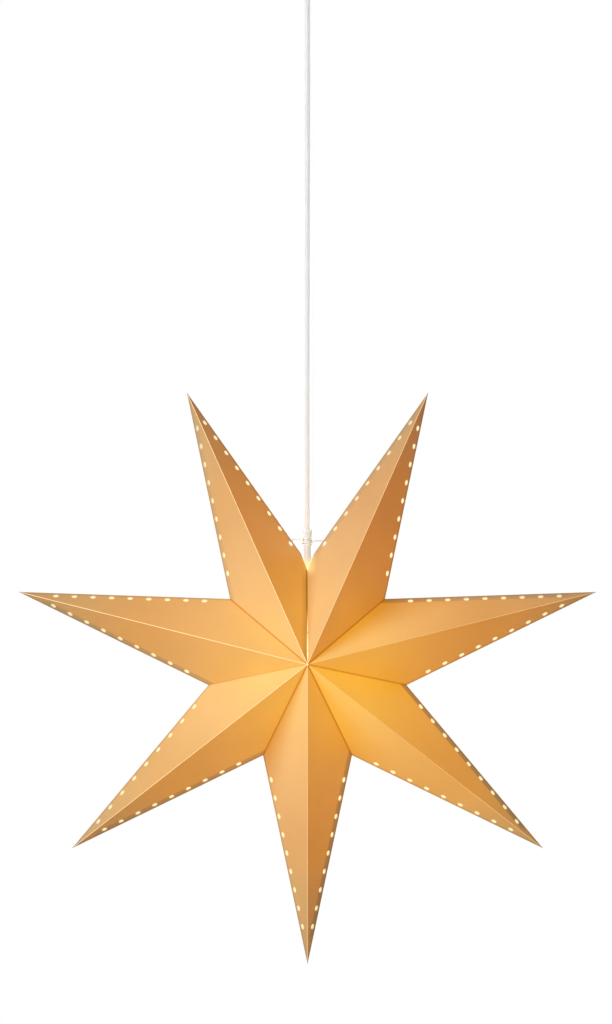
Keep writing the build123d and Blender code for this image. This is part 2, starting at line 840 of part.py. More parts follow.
with BuildPart() as block_screws:
    with BuildSketch(block_face):
        with Locations(*way_screw_places):
            Circle(block_screw_d / 2)
    extrude(amount=core_d / 2 + screw_play - block_length / 2)
    with BuildSketch(block_face):
        with Locations(*way_screw_places):
            Circle(block_screw_head_d / 2)
    extrude(amount=block_screw_head)

with BuildPart() as fixing_screw:
    with BuildSketch(Plane.XY.offset(block_bottom)):
        with Locations((block_x, 0)):
            Circle(fixing_screw_d / 2)
    extrude(amount=block_height + strap_t)
    with BuildSketch(Plane.XY.offset(block_bottom)):
        with Locations((block_x, 0)):
            Circle(fixing_head_d / 2)
    extrude(amount=-fixing_head)


def ceiling_lead(side):
    """Core from the cord's upper end into one way of the terminal block."""
    y_start = side * core_spread / 2
    y_end = side * block_way_spread / 2
    return lead_run(
        (0, y_start, sheath_end),
        (0, y_start, sheath_end + way_knee),
        (block_x, y_end, block_bottom - way_foot),
        (block_x, y_end, block_bottom + block_way_depth - screw_play),
        way_bend,
    )


# Every piece under its name

pieces = {
    "ceiling_strap": ceiling_strap.part,
    "ceiling_cup": ceiling_cup.part,
    "cup_screws": cup_screws.part,
    "cord_gland": cord_gland.part,
    "gland_nut": gland_nut.part,
    "grip_screw": grip_screw.part,
    "terminal_block": terminal_block.part,
    "block_screws": block_screws.part,
    "fixing_screw": fixing_screw.part,
    "ceiling_cord": ceiling_cord.part,
    "ceiling_lead_live": ceiling_lead(1),
    "ceiling_lead_neutral": ceiling_lead(-1),
    "cord_top": cord_top.part,
    "hanging_cord": hanging_cord.part,
    "holder_cap": holder_cap.part,
    "cord_grip": cord_grip.part,
    "holder_cord": holder_cord.part,
    "holder_body": holder_body.part,
    "holder_insert": holder_insert.part,
    "terminal_plates": terminal_plates.part,
    "terminal_screws": terminal_screws.part,
    "screw_shell": screw_shell.part,
    "centre_contact": centre_contact.part,
    "holder_lead_live": holder_lead(1),
    "holder_lead_neutral": holder_lead(-1),
    "bulb_tip": bulb_tip.part,
    "bulb_insulator": bulb_insulator.part,
    "bulb_cap": bulb_cap.part,
    "bulb_collar": bulb_collar.part,
    "bulb_globe": bulb_globe.part,
    "led_board": led_board.part,
    "leds": leds.part,
    "clip_coil": clip_coil.part,
    "clip_arm_left": clip_arm(-1, clip_high),
    "clip_arm_right": clip_arm(1, clip_low),
}
for index in range(point_count):
    pieces[f"star_point_{index + 1}"] = star_point(index)

os.makedirs("parts", exist_ok=True)
for name, piece in pieces.items():
    piece.label = name
    export_step(piece, f"parts/{name}.step")
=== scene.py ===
import math

import bmesh
import bpy
from mathutils import Euler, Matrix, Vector
from mathutils.kdtree import KDTree


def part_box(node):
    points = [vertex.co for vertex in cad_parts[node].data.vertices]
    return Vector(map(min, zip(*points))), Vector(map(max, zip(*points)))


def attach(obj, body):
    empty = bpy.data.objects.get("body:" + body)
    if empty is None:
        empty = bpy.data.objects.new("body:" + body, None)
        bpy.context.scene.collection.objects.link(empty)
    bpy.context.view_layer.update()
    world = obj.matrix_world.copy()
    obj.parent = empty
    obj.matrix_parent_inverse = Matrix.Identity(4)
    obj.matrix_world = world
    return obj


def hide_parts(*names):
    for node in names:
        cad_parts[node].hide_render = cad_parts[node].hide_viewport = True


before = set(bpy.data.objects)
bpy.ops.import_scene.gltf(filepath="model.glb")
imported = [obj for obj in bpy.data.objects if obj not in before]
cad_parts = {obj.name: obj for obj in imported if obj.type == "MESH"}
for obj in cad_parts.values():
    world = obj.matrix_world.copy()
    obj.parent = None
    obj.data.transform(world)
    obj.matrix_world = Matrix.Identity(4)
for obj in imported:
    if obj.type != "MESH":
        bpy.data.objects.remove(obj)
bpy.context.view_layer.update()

# Seven-pointed star lamp of folded card on its cord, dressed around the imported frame.
# Metres. Z is up, the ceiling is at zero, and the star's front faces -Y.

MM = 1000                    # millimetres in a metre

# Star, in the sizes of its solids in the frame
POINTS = 7
LOWEST_POINT = "star_point_4"
TIP_RADIUS = 0.315
NOTCH_RADIUS = 0.107
SEAM_PITCH = math.radians(48)
POINT_PITCH = (2 * math.pi - SEAM_PITCH) / (POINTS - 1)
STAR = Vector((0, 0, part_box(LOWEST_POINT)[0].z + TIP_RADIUS))
HALF_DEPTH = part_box(LOWEST_POINT)[1].y
CARD = 0.0005                # thickness
NECK_CUT_EDGE = 0.011        # cut away for the neck along the star's edge
NECK_CUT_VALLEY = 0.013      # and along the valley

# Perforations. The back rows lie between the holes of the front rows.
HOLE_D = 0.0055
HOLE_PITCH = 0.0196
HOLES = 9
HOLE_INSET = 0.006
HOLE_END = 0.0265            # from the notch to the nearest hole
HOLE_SIDES = 24

# Folds and glue strips of a sheet
FOLD = 0.0006                # flat card lost on each side of a rounded fold
FOLD_STEPS = 3
TIP_CUT = 0.005              # where the panels end before the tip
TIP_BLUNT = 0.0004           # lost from the tip's sharp end
VALLEY_GAP = 0.000005        # from a sheet to the middle of the valley
ROW_STEPS = 24
TAB_WIDTH = 0.010
TAB_START = 0.034            # from the tip
TAB_END = 0.030              # from the notch
TAB_CLEAR = 1.05             # card thicknesses from a panel's face to the strip behind it
FLAP_WIDTH = 0.012
FLAP_INNER = 0.020           # from the star's axis
FLAP_OUTER = 0.090
FLAP_TAPER = 0.008

# How strongly these show on each point, clockwise from the seam
TAB_SHADE = [0.5, 0.8, 1.0, 0.85, 0.7, 0.8, 0.5]        # painted shade of the strip glued behind the card
RIDGE_WEAR_AND_HIGHLIGHT = [0.7, 0.2, 0.15, 0.5, 0.9, 1.0, 1.0]       # pale worn line along the ridge with a painted highlight, near the middle
TIP_WEAR_AND_HIGHLIGHT = [0.9, 0.8, 0.8, 0.8, 0.9, 1.0, 1.0]          # the same line near the tip
VALLEY_SHADE = [1.0, 0.8, 1.0, 0.9, 0.25, 0.8, 0.0]     # painted shade: dark line in the groove of the valley after the point
CARD_GLOW = [0.84, 1.02, 1.15, 0.97, 1.04, 1.02, 0.94]  # the bulb's light through the card

# Where marks on the card fade in and are full, in millimetres from its ridge, edge or valley
RIDGE_LINE = (0.8, 0.25)
EDGE_SHADE_LINE = (5.0, 0.8)
VALLEY_LINE = (1.8, 0.3)
STRIP_LINE = (9.4, 8.2)
SEAM_SHADE_LINE = (11.0, 1.0)
SHUT_SHADOW_LINE = (2.4, 1.0)
SEAM_GLOW_LINE = (16.0, 0.5)
HOLE_GLOW_WIDTH = 0.7               # width of the painted glow round a hole
# and in metres from the star's centre
DIM_TIP = (0.24, 0.33)
PALE_MIDDLE = (0.20, 0.10)

# Open seam: shut under the neck, gaping towards the middle. Shares of the way from the neck.
SLIT_SHUT = 0.00003
SLIT_OPEN = 0.0011
SLIT_START = 0.48
SLIT_WIDEST = 0.84
# Heights between which the card beside it changes
SEAM_DARK = (STAR.z + 0.042, STAR.z + 0.064)  # on its left, painted shadow in the shut seam above them
SEAM_SHADED = (STAR.z + 0.102, STAR.z + 0.085)   # on its left, painted shade below them
SEAM_LIT = (STAR.z + 0.091, STAR.z + 0.101)   # on its right, lit from inside above them

# Cord
CORD_D = 0.006
CORD_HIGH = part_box("hanging_cord")[1].z
CORD_CLEAR = 0.00003         # between its lower end and the cord inside the holder
CORD_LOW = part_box("hanging_cord")[0].z + CORD_CLEAR
CORD_SHOULDER = 0.0006       # below its rounded upper end
CORD_LEAD = 6 * CORD_D       # straight run at both ends

# Light of the bulb through the card
BULB = sum(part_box("bulb_globe"), Vector()) / 2
GLOW_MIDDLE = STAR + Vector((0.016, 0.073, 0.004))  # at the back, and mirrored at the front
GLOW_NEAR = 0.060            # distance from there where the card glows most
GLOW_FAR = 0.300             # and where it glows least, at the tips
GLOW = [                     # colours from the near to the far distance
    (0.00, (0.684, 0.263, 0.006, 1)),
    (0.12, (0.627, 0.224, 0.001, 1)),
    (0.27, (0.575, 0.188, 0.001, 1)),
    (0.45, (0.521, 0.163, 0.001, 1)),
    (0.63, (0.476, 0.146, 0.001, 1)),
    (0.82, (0.403, 0.134, 0.010, 1)),
    (1.00, (0.356, 0.121, 0.016, 1)),
]
INSIDE_LIT = (0.33, 0.09)    # distances from the bulb between which the card's inside brightens
NECK_LIT = (STAR.z + 0.116, STAR.z + 0.096)  # heights between which the holder's neck turns warm

# Camera
PHOTO_HEIGHT = 1024          # pixels
FOCAL_PIXELS = 2841.0
SENSOR = 36.0                # millimetres
CAMERA_X = -0.0016           # its place from the star's centre
CAMERA_BACK = 3.0
CAMERA_ABOVE = 0.0142
CAMERA_PITCH = math.radians(92.792)
CAMERA_REACH = 100

# Floor and light
FLOOR_Z = -1.75
FLOOR_RADIUS = 3.6
FLOOR_SIDES = 96
FLOOR_FADE = (0.8, 3.4)      # distances from the middle between which it turns white
FLOOR_WHITE = 0.6            # share of plain white in its middle
ROOM_LIGHT = 0.16
# Each lamp's name, place from the star's centre, width and power
LAMPS = [
    ("key_lamp", (-2.1, -1.9, 1.1), 1.6, 72),
    ("back_fill_right", (1.45, 2.3, 0.5), 0.6, 50),
    ("back_fill_left", (-1.3, 2.4, 0.5), 1.6, 14),
]


class Wire:
    """A socket in a node tree. Arithmetic on it adds Math nodes."""

    def __init__(self, tree, socket=None):
        self.tree = tree
        self.socket = socket

    def join(self, value, socket):
        """Links a wire, or several, to a socket, or sets its plain value."""
        if isinstance(value, Wire):
            self.tree.links.new(value.socket, socket)
        elif isinstance(value, list):
            for wire in value:
                self.join(wire, socket)
        else:
            socket.default_value = value

    def node(self, kind, inputs=None, output=0, stops=None, **settings):
        """Adds a node: its settings first, then the values or links of its sockets."""
        made = self.tree.nodes.new(kind)
        for name, value in settings.items():
            setattr(made, name, value)
        for index, (position, colour) in enumerate(stops or ()):
            elements = made.color_ramp.elements
            stop = elements[index] if index < len(elements) else elements.new(position)
            stop.position = position
            stop.color = colour
        for key, value in (inputs or {}).items():
            self.join(value, made.inputs[key])
        return Wire(self.tree, made.outputs[output])

    def maths(self, operation, first, second=0.0):
        return self.node("ShaderNodeMath", {0: first, 1: second}, operation=operation)

    def __add__(self, other):
        return self.maths("ADD", self, other)

    def __radd__(self, other):
        return self.maths("ADD", other, self)

    def __sub__(self, other):
        return self.maths("SUBTRACT", self, other)

    def __rsub__(self, other):
        return self.maths("SUBTRACT", other, self)

    def __mul__(self, other):
        return self.maths("MULTIPLY", self, other)

    def __rmul__(self, other):
        return self.maths("MULTIPLY", other, self)

    def __truediv__(self, other):
        return self.maths("DIVIDE", self, other)

    def fade(self, start, end, smooth=True):
        """0 where the value is at start, 1 where it is at end, held beyond both."""
        kind = "SMOOTHSTEP" if smooth else "LINEAR"
        return self.node("ShaderNodeMapRange", {0: self, 1: start, 2: end, 3: 0.0, 4: 1.0},
                         interpolation_type=kind)

    def noise(self, place, scale, detail=2.0, roughness=0.5):
        return self.node("ShaderNodeTexNoise", {"Vector": place, "Scale": scale, "Detail": detail,
                                                "Roughness": roughness}, output="Fac")

    def stretched(self, place, scale):
        return self.node("ShaderNodeMapping", {"Vector": place, "Scale": scale})

    def distance(self, place, point):
        """How far a place is from a fixed point."""
        return self.node("ShaderNodeVectorMath", {0: place, 1: point}, output="Value", operation="DISTANCE")

    def mix(self, factor, low, high):
        """From one colour to another."""
        return self.node("ShaderNodeMix", {0: factor, 6: low, 7: high}, output=2, data_type="RGBA")

    def dim(self, colour, factor):
        """A colour times a value."""
        return self.node("ShaderNodeVectorMath", {0: colour, "Scale": factor}, operation="SCALE")

    def bump(self, height, distance, strength=1.0, under=None):
        inputs = {"Height": height, "Distance": distance, "Strength": strength}
        if under:
            inputs["Normal"] = under
        return self.node("ShaderNodeBump", inputs)


def rgb(red, green, blue):
    return (red, green, blue, 1.0)


def new_finish(name, **fixed):
    """A material with a Principled shader whose fixed sockets are set, and a wire to build on."""
    material = bpy.data.materials.new(name)
    material.use_nodes = True
    tree = material.node_tree
    shader = tree.nodes["Principled BSDF"]
    for socket, value in fixed.items():
        shader.inputs[socket.replace("_", " ")].default_value = value
    wire = Wire(tree)
    place = wire.node("ShaderNodeTexCoord", output="Object")
    return material, shader, wire, place


# Finishes

# What the card's mesh tells its shader: distances in millimetres, strengths of marks, and the place in the
# row of holes, counted from its two ends
CARD_MARKS = (
    "edge_mm", "ridge_mm", "valley_mm",
    "tab", "seam", "wear", "shade", "glow",
    "row", "row_left",
)


def gold_card():
    """Matt gold card: fibres, soft mottling, worn ridges with a painted highlight, painted shade along its
    edges, valleys and seam, and the bulb's glow through it.
    """
    material, shader, wire, place = new_finish("gold_card", Specular_IOR_Level=0.08, Emission_Strength=1.0)
    edge, ridge, valley, tab, seam, wear, shade, share, row, row_left = (
        wire.node("ShaderNodeAttribute", output="Fac", attribute_name=name) for name in CARD_MARKS
    )
    mottle = wire.noise(place, 22.0, 3.0)
    fibre = wire.noise(place, 1400.0, 4.0, 0.65)
    fleck = wire.noise(place, 420.0, 2.0)

    across, depth, height = (
        wire.node("ShaderNodeSeparateXYZ", {"Vector": place}, output=axis) for axis in "XYZ"
    )
    mirrored = wire.node("ShaderNodeCombineXYZ", {"X": across, "Y": wire.maths("ABSOLUTE", depth),
                                                  "Z": height})
    away = wire.distance(mirrored, GLOW_MIDDLE)
    out = wire.distance(place, STAR)

    # Worn ridge with a painted highlight: paler card and a brighter painted glow along the crease
    ridge_wear_and_highlight = wear * ridge.fade(*RIDGE_LINE) * (0.7 + 0.5 * mottle)
    # Painted shade along the star's edge, where the fold turns from the light: darker card and less glow
    edge_shade = edge.fade(*EDGE_SHADE_LINE)
    # Painted shade in the groove of each valley: a dark, redder line
    valley_groove_shade = shade * valley.fade(*VALLEY_LINE)
    # Painted shade where the strip glued behind the card lets less of the bulb's glow through; the card over
    # it is paler
    strip = tab * edge.fade(*STRIP_LINE) * row_left.fade(-0.9, -0.2)
    left = seam.fade(0.0, 1.0)
    right = seam.fade(0.0, -1.0)
    # Painted shade in a band left of the seam: darker card and less glow
    seam_shade = left * valley.fade(*SEAM_SHADE_LINE) * height.fade(*SEAM_SHADED)
    # Painted shadow in the shut seam: a dark line with little glow
    shut_seam_shadow = left * valley.fade(*SHUT_SHADOW_LINE) * height.fade(*SEAM_DARK)
    # Painted light: the card right of the seam glows brighter, lit from inside
    seam_glow = right * valley.fade(*SEAM_GLOW_LINE) * height.fade(*SEAM_LIT)
    step = row - wire.maths("ROUND", row)
    off_hole = wire.node("ShaderNodeCombineXYZ", {"X": step * (HOLE_PITCH * MM),
                                                  "Y": edge - HOLE_INSET * MM})
    hole = wire.node("ShaderNodeVectorMath", {0: off_hole}, output="Value", operation="LENGTH")
    hole_edge = HOLE_D / 2 * MM
    in_row = row.fade(-0.5, -0.4) * row_left.fade(-0.5, -0.4)
    # Painted light: a brighter glow round each hole
    rim = hole.fade(hole_edge + HOLE_GLOW_WIDTH, hole_edge) * in_row
    # Towards the tips the card is darker and greyer, and its painted glow weaker
    dim_tip = out.fade(*DIM_TIP)
    # Painted light: the card is paler near the middle, where its panels catch more light
    middle = out.fade(*PALE_MIDDLE)

    base = wire.mix(mottle, rgb(0.325, 0.290, 0.155), rgb(0.370, 0.332, 0.185))
    base = wire.mix(middle * 0.6, base, rgb(0.41, 0.45, 0.29))
    base = wire.mix(fibre * 0.5, base, rgb(0.285, 0.258, 0.136))
    base = wire.mix(fleck.fade(0.62, 0.75) * 0.25, base, rgb(0.52, 0.46, 0.29))
    base = wire.mix(strip * 0.5, base, rgb(0.46, 0.355, 0.22))
    base = wire.mix(valley_groove_shade * 0.85, base, rgb(0.25, 0.09, 0.005))
    base = wire.mix(edge_shade * 0.35, base, rgb(0.24, 0.20, 0.13))
    base = wire.mix(seam_shade * 0.5, base, rgb(0.28, 0.17, 0.06))
    base = wire.mix(shut_seam_shadow * 0.9, base, rgb(0.16, 0.055, 0.0))
    base = wire.mix(dim_tip * 0.3, base, rgb(0.28, 0.22, 0.13))
    base = wire.mix(ridge_wear_and_highlight * 0.85, base, rgb(0.93, 0.78, 0.53))
    wire.join(base, shader.inputs["Base Color"])

    glow = wire.node("ShaderNodeValToRGB", {"Fac": away.fade(GLOW_NEAR, GLOW_FAR, smooth=False)}, stops=GLOW)
    through = (0.92 + 0.16 * mottle) * (1 - 0.55 * strip) * (1 - 0.28 * seam_shade) * (1 - 0.2 * dim_tip)
    through = share * through * (1 - 0.35 * edge_shade) * (1 - 0.6 * shut_seam_shadow)
    # A point that glows less is also redder
    redder = wire.node("ShaderNodeCombineXYZ", {"X": 1.0, "Y": share, "Z": share})
    glow = wire.node("ShaderNodeVectorMath", {0: wire.dim(glow, through), 1: redder}, operation="MULTIPLY")
    light = wire.mix(seam_glow, glow, rgb(0.72, 0.48, 0.15))
    light = wire.mix(ridge_wear_and_highlight * 0.45, light, rgb(0.86, 0.58, 0.24))
    light = wire.mix(valley_groove_shade * 0.6, light, rgb(0.36, 0.075, 0.0))
    light = wire.mix(rim * 0.4, light, rgb(0.90, 0.70, 0.36))
    wire.join(light, shader.inputs["Emission Color"])

    wire.join(0.52 + 0.16 * fibre, shader.inputs["Roughness"])
    waves = wire.bump(wire.noise(place, 11.0, 1.0), 0.004, 0.35)
    wire.join(wire.bump(fibre, 0.00015, 0.35, waves), shader.inputs["Normal"])
    return material


def card_inside():
    """Pale uncoated side of the card, lit by the bulb, and its cut edges."""
    material, shader, wire, place = new_finish("card_inside", Roughness=0.9, Specular_IOR_Level=0.1,
                                               Emission_Strength=1.0)
    fibre = wire.noise(place, 900.0, 3.0)
    wire.join(wire.mix(fibre, rgb(0.36, 0.30, 0.19), rgb(0.46, 0.40, 0.28)), shader.inputs["Base Color"])
    lit = 0.85 + 0.15 * wire.distance(place, BULB).fade(*INSIDE_LIT)
    wire.join(wire.dim((0.70, 0.67, 0.48), lit), shader.inputs["Emission Color"])
    return material


def moulded(name, low, high, roughness, grain=700.0, depth=0.00006, **fixed):
    """Moulded plastic or ceramic: a fine even grain and a faint cloud in its colour."""
    material, shader, wire, place = new_finish(name, Specular_IOR_Level=0.4, **fixed)
    cloud = wire.noise(place, 60.0, 2.0)
    pits = wire.noise(place, grain, 3.0)
    wire.join(wire.mix(cloud, rgb(*low), rgb(*high)), shader.inputs["Base Color"])
    wire.join(roughness - 0.06 + 0.12 * cloud, shader.inputs["Roughness"])
    wire.join(wire.bump(pits, depth, 0.3), shader.inputs["Normal"])
    return material


# Light goes some way into white plastic, and the bulb's light warms the plastic beside it
MILKY = {"Subsurface_Weight": 1.0, "Subsurface_Radius": (1.0, 1.0, 1.0), "Subsurface_Scale": 0.008}
MILKY_CORD = {**MILKY, "Subsurface_Scale": 0.03}
BULB_LIT = {"Emission_Color": rgb(0.14, 0.11, 0.0), "Emission_Strength": 1.0}


def lit_neck():
    """White moulded plastic of the holder's neck, lit through by the bulb and warm low down."""
    material = moulded("lit_neck", (0.86, 0.875, 0.90), (0.90, 0.915, 0.94), 0.36, **MILKY)
    wire = Wire(material.node_tree)
    place = wire.node("ShaderNodeTexCoord", output="Object")
    height = wire.node("ShaderNodeSeparateXYZ", {"Vector": place}, output="Z")
    shader = material.node_tree.nodes["Principled BSDF"]
    shader.inputs["Emission Strength"].default_value = 1.0
    light = wire.mix(height.fade(*NECK_LIT), rgb(0.19, 0.195, 0.17), rgb(0.56, 0.41, 0.05))
    wire.join(light, shader.inputs["Emission Color"])
    return material


def worked_metal(name, low, high, roughness, stretch=(1.0, 1.0, 8.0)):
    """Drawn or rolled metal: fine lines along its length and dull patches."""
    material, shader, wire, place = new_finish(name, Metallic=1.0)
    lines = wire.noise(wire.stretched(place, stretch), 900.0, 3.0)
    dull = wire.noise(place, 140.0, 3.0)
    wire.join(wire.mix(dull, rgb(*low), rgb(*high)), shader.inputs["Base Color"])
    wire.join(roughness - 0.08 + 0.1 * lines + 0.1 * dull, shader.inputs["Roughness"])
    wire.join(wire.bump(lines, 0.00003, 0.3), shader.inputs["Normal"])
    return material


def lit_lens(name, low, high, light):
    """Opal or phosphor that gives light."""
    material, shader, wire, place = new_finish(name, Roughness=0.4, Emission_Strength=1.0)
    cloud = wire.noise(place, 90.0, 2.0)
    wire.join(wire.mix(cloud, rgb(*low), rgb(*high)), shader.inputs["Base Color"])
    wire.join(wire.dim(light, 0.85 + 0.3 * cloud), shader.inputs["Emission Color"])
    return material


FINISHES = {
    "cord_sheath": moulded("cord_sheath", (0.91, 0.91, 0.91), (0.95, 0.95, 0.95), 0.42, 1500.0,
                           **MILKY_CORD),
    "lit_neck": lit_neck(),
    "lit_body": moulded("lit_body", (0.80, 0.79, 0.74), (0.86, 0.85, 0.80), 0.36, **BULB_LIT),
    "white_plastic": moulded("white_plastic", (0.80, 0.79, 0.77), (0.86, 0.855, 0.84), 0.36),
    "clear_nylon": moulded("clear_nylon", (0.66, 0.66, 0.60), (0.74, 0.74, 0.69), 0.45),
    "white_ceramic": moulded("white_ceramic", (0.74, 0.72, 0.67), (0.83, 0.82, 0.78), 0.75, 1600.0),
    "brass": worked_metal("brass", (0.66, 0.44, 0.16), (0.80, 0.60, 0.28), 0.32),
    "steel": worked_metal("steel", (0.52, 0.53, 0.55), (0.68, 0.69, 0.70), 0.36),
    "spring_wire": worked_metal("spring_wire", (0.80, 0.80, 0.79), (0.90, 0.90, 0.89), 0.42),
    "bright_metal": worked_metal("bright_metal", (0.70, 0.70, 0.70), (0.82, 0.82, 0.81), 0.22),
    "black_insulator": moulded("black_insulator", (0.012, 0.012, 0.013), (0.022, 0.022, 0.023), 0.25),
    "opal_globe": lit_lens("opal_globe", (0.86, 0.82, 0.72), (0.92, 0.89, 0.80), (0.90, 0.72, 0.30)),
    "board_white": moulded("board_white", (0.76, 0.76, 0.75), (0.83, 0.83, 0.82), 0.5),
    "led_yellow": lit_lens("led_yellow", (0.80, 0.60, 0.15), (0.88, 0.72, 0.25), (1.0, 0.88, 0.60)),
    "core_brown": moulded("core_brown", (0.072, 0.027, 0.010), (0.095, 0.040, 0.016), 0.4),
    "core_blue": moulded("core_blue", (0.010, 0.050, 0.26), (0.016, 0.070, 0.33), 0.4),
}

PIECE_FINISH = {
    "cord_sheath": ["ceiling_cord", "cord_top", "holder_cord"],
    "lit_neck": ["holder_cap"],
    "lit_body": ["holder_body", "bulb_collar"],
    "white_plastic": ["ceiling_cup", "cord_gland", "gland_nut", "grip_screw", "terminal_block"],
    "clear_nylon": ["cord_grip"],
    "white_ceramic": ["holder_insert"],
    "brass": ["terminal_plates", "terminal_screws", "screw_shell", "centre_contact"],
    "steel": ["ceiling_strap", "cup_screws", "block_screws", "fixing_screw"],
    "spring_wire": ["clip_coil", "clip_arm_left", "clip_arm_right"],
    "bright_metal": ["bulb_cap", "bulb_tip"],
    "black_insulator": ["bulb_insulator"],
    "opal_globe": ["bulb_globe"],
    "board_white": ["led_board"],
    "led_yellow": ["leds"],
    "core_brown": ["ceiling_lead_live", "holder_lead_live"],
    "core_blue": ["ceiling_lead_neutral", "holder_lead_neutral"],
}

for finish, nodes in PIECE_FINISH.items():
    for node in nodes:
        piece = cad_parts[node]
        piece.data.materials.clear()
        piece.data.materials.append(FINISHES[finish])

GOLD = gold_card()
INSIDE = card_inside()


def new_piece(name, data):
    """Puts a mesh, curve, lamp or camera in the scene, at the origin."""
    piece = bpy.data.objects.new(name, data)
    bpy.context.scene.collection.objects.link(piece)
    return piece


def bake(piece):
    """Turns a piece's modifiers into its plain mesh."""
    bpy.context.view_layer.update()
    shape = piece.evaluated_get(bpy.context.evaluated_depsgraph_get())
    mesh = bpy.data.meshes.new_from_object(shape)
    piece.modifiers.clear()
    piece.data = mesh
    return mesh


# Star of folded card

def in_star_plane(angle, radius):
    """Point in the star's middle plane, its angle clockwise from the top."""
    return STAR + Vector((math.sin(angle), 0, math.cos(angle))) * radius


def tip_angle(point):
    """Angle of a point's tip, clockwise from the open seam at the top."""
    return SEAM_PITCH / 2 + point * POINT_PITCH


def on_seam(point, side):
    """Whether this side of a point lies on the open seam."""
    return (point == 0 and side < 0) or (point == POINTS - 1 and side > 0)


def valley_angle(point, side):
    """Angle of the valley on one side of a point: -1 before it, 1 after it."""
    return tip_angle(point) + side * (SEAM_PITCH if on_seam(point, side) else POINT_PITCH) / 2


class Panel:
    """One flat panel of a point in its own plane: x from the tip along the star's edge, y inwards."""

    def __init__(self, point, side, face):
        self.tip = in_star_plane(tip_angle(point), TIP_RADIUS)
        notch = in_star_plane(valley_angle(point, side), NOTCH_RADIUS) - self.tip
        apex = STAR + Vector((0, face * HALF_DEPTH, 0)) - self.tip
        self.along = notch.normalized()
        self.across = (apex - self.along * self.along.dot(apex)).normalized()
        self.face = face
        self.seam = on_seam(point, side)
        self.seam_side = float(side) if self.seam else 0.0
        self.tab = TAB_SHADE[point] if side < 0 and face < 0 else 0.0
        self.wear = (TIP_WEAR_AND_HIGHLIGHT[point], RIDGE_WEAR_AND_HIGHLIGHT[point])
        self.shade = VALLEY_SHADE[point if side > 0 else point - 1]
        self.glow = CARD_GLOW[point]
        self.inward = self.along.cross(self.across)
        if self.inward.dot(STAR - self.tip) < 0:
            self.inward = -self.inward
        self.notch = Vector((notch.length, 0))
        self.apex = Vector((self.along.dot(apex), self.across.dot(apex)))
        self.ridge_dir = self.apex.normalized()
        self.ridge_in = Vector((self.ridge_dir.y, -self.ridge_dir.x))
        self.valley_dir = (self.apex - self.notch).normalized()
        self.valley_in = Vector((-self.valley_dir.y, self.valley_dir.x))
        self.holes = HOLES if face < 0 else HOLES - 1
        self.hole_end = HOLE_END if face < 0 else HOLE_END + HOLE_PITCH / 2

    def place(self, flat):
        """A point of the panel's plane, in the frame."""
        return self.tip + self.along * flat.x + self.across * flat.y

    def gap(self, share):
        """How far the card stops short of the valley, from the notch to the middle."""
        if not self.seam:
            return VALLEY_GAP
        rise = min(1.0, max(0.0, (share - SLIT_START) / (SLIT_WIDEST - SLIT_START)))
        fall = min(1.0, (1.0 - share) / (1.0 - SLIT_WIDEST))
        swell = min(rise, fall)
        return SLIT_SHUT + (SLIT_OPEN - SLIT_SHUT) * swell * swell * (3 - 2 * swell)

    def rows(self):
        """Rows of flat points along the edge, the valley and the ridge, each from its outer end."""
        length = (self.apex - self.notch).length
        first = (FOLD - self.valley_in.y * self.gap(0)) / self.valley_dir.y
        if self.seam:
            first = NECK_CUT_VALLEY
        corner = self.notch + self.valley_in * self.gap(1)
        last = (FOLD - corner.dot(self.ridge_in)) / self.valley_dir.dot(self.ridge_in)
        valley = []
        for step in range(ROW_STEPS + 1):
            reach = first + (last - first) * step / ROW_STEPS
            valley.append(self.notch + self.valley_dir * reach + self.valley_in * self.gap(reach / length))
        edge_end = Vector((self.notch.x - NECK_CUT_EDGE, FOLD)) if self.seam else valley[0]
        edge = [Vector((TIP_CUT, FOLD)).lerp(edge_end, step / ROW_STEPS) for step in range(ROW_STEPS + 1)]
        ridge_start = self.ridge_dir * TIP_CUT + self.ridge_in * FOLD
        ridge = [ridge_start.lerp(valley[-1], step / ROW_STEPS) for step in range(ROW_STEPS + 1)]
        return edge, valley, ridge


